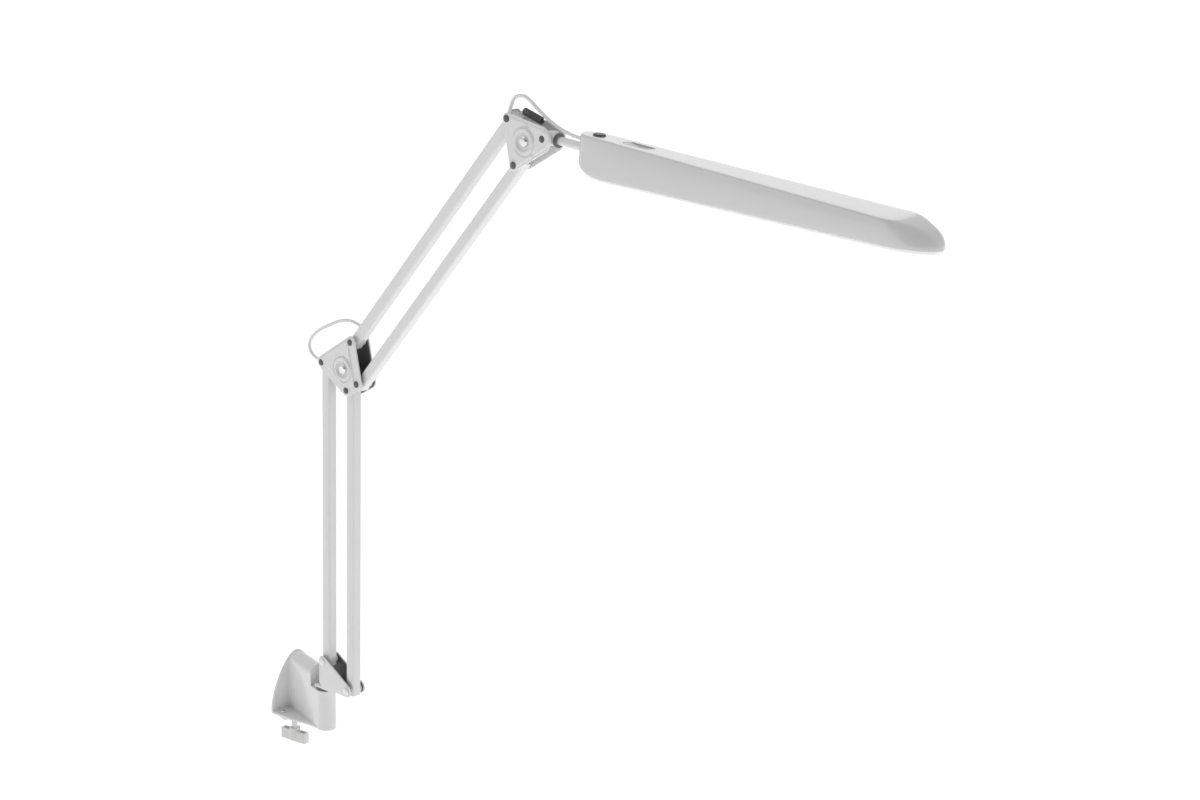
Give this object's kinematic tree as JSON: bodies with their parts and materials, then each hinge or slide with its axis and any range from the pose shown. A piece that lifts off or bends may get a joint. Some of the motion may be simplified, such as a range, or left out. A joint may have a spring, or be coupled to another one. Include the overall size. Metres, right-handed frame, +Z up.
{
  "type": "swing arm desk lamp",
  "caption": "Clamp-on desk lamp with parallelogram arms, a swivelling base, pressed joint plates, a tilting stem and a long tapered LED head with button and dimmer rocker.",
  "frame": {"origin": "Centre of the clamp's mouth at the height where the upper jaw's pad rests on the table top.", "axes": "+Z up. +X leads away from the table, from its edge out to the post. +Y is across the clamp. The arms stand at rest in a plane turned 12.5 degrees about +Z from +X towards +Y."},
  "size_m": [1.0096, 0.2585, 0.9094],
  "materials": {
    "white_paint": "smooth gloss powder coat",
    "white_shade": "smooth gloss white lacquer",
    "white_plastic": "moulded, satin gloss",
    "black_plastic": "moulded, fine texture",
    "white_pins": "gloss paint over steel",
    "steel": "bright zinc plated",
    "black_steel": "black oxide",
    "rubber": "moulded",
    "opal": "opal diffuser, satin",
    "aluminium": "plain sheet",
    "board": "circuit board laminate",
    "driver_case": "moulded case",
    "cord": "smooth white cord sheath"
  },
  "bodies": {
    "clamp": {"clamp_body": "white_paint", "lower_jaw": "white_paint", "jaw_screw_left": "steel", "jaw_screw_right": "steel", "upper_jaw_pad": "rubber", "socket_bush": "black_plastic"},
    "pressure_pad": {"pressure_pad": "steel", "pressure_pad_rubber": "rubber"},
    "spindle": {"clamp_spindle": "steel", "clamp_handle": "white_plastic", "handle_pin": "steel"},
    "base_bracket": {"base_bracket": "white_paint", "base_core": "black_plastic", "base_pin_1": "white_pins", "base_pin_2": "white_pins", "bracket_post": "steel", "post_screw": "steel"},
    "lower_rear": {"lower_rear_rail": "white_paint", "lower_rear_rail_low_end": "white_plastic", "lower_rear_rail_high_end": "white_plastic"},
    "lower_front": {"lower_front_rail": "white_paint", "lower_front_rail_low_end": "white_plastic", "lower_front_rail_high_end": "white_plastic"},
    "elbow": {"elbow_plate_near": "white_paint", "elbow_plate_far": "white_paint", "elbow_core": "black_plastic", "elbow_bolt": "steel", "elbow_nut": "steel", "elbow_pin_1": "black_steel", "elbow_pin_2": "black_steel", "elbow_pin_3": "black_steel", "elbow_pin_4": "black_steel", "elbow_cord": "cord"},
    "upper_top": {"upper_top_rail": "white_paint", "upper_top_rail_low_end": "white_plastic", "upper_top_rail_high_end": "white_plastic"},
    "upper_bottom": {"upper_bottom_rail": "white_paint", "upper_bottom_rail_low_end": "white_plastic", "upper_bottom_rail_high_end": "white_plastic"},
    "head_bracket": {"head_bracket_plate_near": "white_paint", "head_bracket_plate_far": "white_paint", "head_bracket_core": "white_plastic", "head_bracket_bolt": "steel", "head_bracket_nut": "steel", "head_bracket_pin_1": "black_steel", "head_bracket_pin_2": "black_steel", "head_bracket_pin_3": "black_steel", "head_spring": "black_steel", "head_cord": "cord"},
    "tilt": {"tilt_block": "white_paint"},
    "head": {"shade": "white_shade", "head_stem": "white_paint", "stem_nut": "steel", "switch_board": "board", "heat_sink_tray": "aluminium", "led_board": "board", "diffuser": "opal", "led_driver": "driver_case"},
    "power_button": {"power_button": "black_plastic"},
    "dimmer_rocker": {"dimmer_rocker": "white_plastic"}
  },
  "joints": [
    {"name": "pad_travel", "type": "slide", "parent": "clamp", "child": "pressure_pad", "axis": [0, 0, 1], "range_m": [0, 0.018]},
    {"name": "spindle_turn", "type": "hinge", "parent": "pressure_pad", "child": "spindle", "pos_m": [0.002, 0, -0.05], "axis": [0, 0, 1], "range_deg": [0, 3240]},
    {"name": "base_swivel", "type": "hinge", "parent": "clamp", "child": "base_bracket", "pos_m": [0.0945, 0, 0.0333], "axis": [0, 0, 1], "range_deg": [-105, 80]},
    {"name": "lower_lean", "type": "hinge", "parent": "base_bracket", "child": "lower_rear", "pos_m": [0.10299, 0.00188, 0.0671], "axis": [-0.2164, 0.9763, 0], "range_deg": [-30, 46]},
    {"name": "lower_front_lean", "type": "hinge", "parent": "base_bracket", "child": "lower_front", "pos_m": [0.148, 0.01186, 0.039], "axis": [-0.2164, 0.9763, 0], "range_deg": [-30, 46]},
    {"name": "elbow_level", "type": "hinge", "parent": "lower_rear", "child": "elbow", "pos_m": [0.11219, 0.00392, 0.46699], "axis": [-0.2164, 0.9763, 0], "range_deg": [-46, 30], "deforming": ["elbow_cord"]},
    {"name": "upper_lean", "type": "hinge", "parent": "elbow", "child": "upper_top", "pos_m": [0.1654, 0.01572, 0.50099], "axis": [-0.2164, 0.9763, 0], "range_deg": [-28, 78]},
    {"name": "upper_bottom_lean", "type": "hinge", "parent": "elbow", "child": "upper_bottom", "pos_m": [0.17595, 0.01806, 0.45009], "axis": [-0.2164, 0.9763, 0], "range_deg": [-28, 78]},
    {"name": "head_level", "type": "hinge", "parent": "upper_top", "child": "head_bracket", "pos_m": [0.42867, 0.07408, 0.80048], "axis": [-0.2164, 0.9763, 0], "range_deg": [-78, 28], "deforming": ["head_cord", "head_spring"]},
    {"name": "head_tilt", "type": "hinge", "parent": "head_bracket", "child": "tilt", "pos_m": [0.48266, 0.08605, 0.78308], "axis": [-0.2164, 0.9763, 0], "range_deg": [-60, 50]},
    {"name": "head_twist", "type": "hinge", "parent": "tilt", "child": "head", "pos_m": [0.51182, 0.09252, 0.78022], "axis": [0.9719, 0.2155, -0.0953], "range_deg": [-90, 90]},
    {"name": "button_press", "type": "slide", "parent": "head", "child": "power_button", "axis": [0.0931, 0.0206, 0.9954], "range_m": [-0.0015, 0], "stiffness_N_per_m": 300},
    {"name": "rocker_tip", "type": "hinge", "parent": "head", "child": "dimmer_rocker", "pos_m": [0.60864, 0.11398, 0.78257], "axis": [-0.2164, 0.9763, 0], "range_deg": [-3, 3], "stiffness_Nm_per_rad": 0.5}
  ],
  "couplings": [
    {"joint": "spindle_turn", "follows": "pad_travel", "rad_per_m": 3141.6},
    {"joint": "lower_front_lean", "follows": "lower_lean", "ratio": 1},
    {"joint": "elbow_level", "follows": "lower_lean", "ratio": -1},
    {"joint": "upper_bottom_lean", "follows": "upper_lean", "ratio": 1},
    {"joint": "head_level", "follows": "upper_lean", "ratio": -1}
  ]
}
